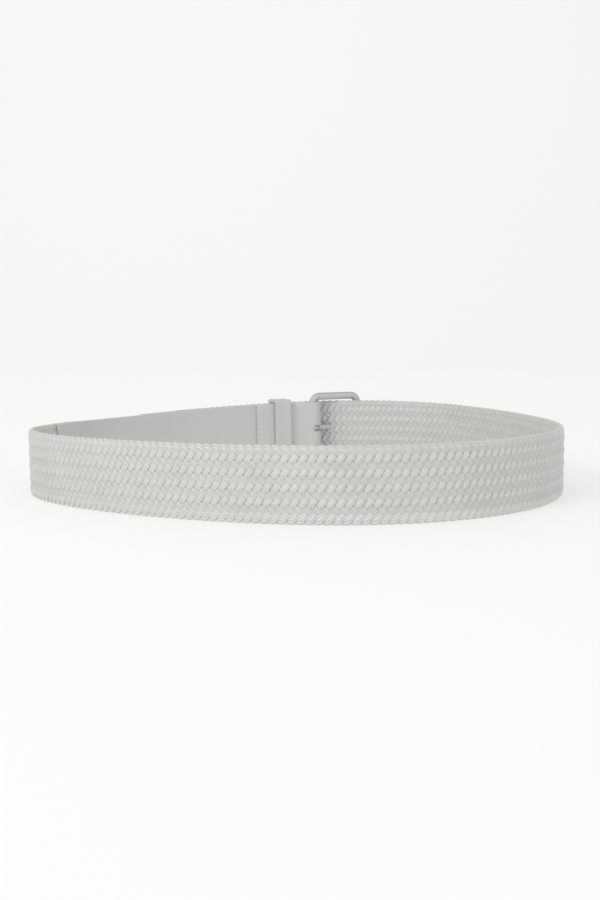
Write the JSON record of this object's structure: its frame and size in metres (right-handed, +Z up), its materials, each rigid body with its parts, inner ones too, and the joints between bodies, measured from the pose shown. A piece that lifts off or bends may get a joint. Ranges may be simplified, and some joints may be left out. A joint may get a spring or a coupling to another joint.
{
  "type": "braided belt fastened in a loop",
  "caption": "Flat braided belt with smooth leather ends, closed round to a rectangular pin buckle and a keeper loop, standing on its edge.",
  "frame": {"origin": "on the table under the middle of the belt's bounding box", "axes": "+Z up, +X to the picture's right along the loop's longest side, +Y away from the viewer towards the buckle"},
  "size_m": [0.2824, 0.246, 0.0454],
  "materials": {
    "braid": "matte pale grey-green braided cord",
    "leather": "smooth grey leather with a soft sheen and cut edges",
    "buckle_metal": "plain grey metal with a soft sheen"
  },
  "bodies": {
    "root": {"braid_strap": "braid", "leather_strap": "leather", "leather_tip": "leather", "keeper": "leather", "buckle_frame": "buckle_metal", "prong": "buckle_metal"}
  },
  "joints": []
}
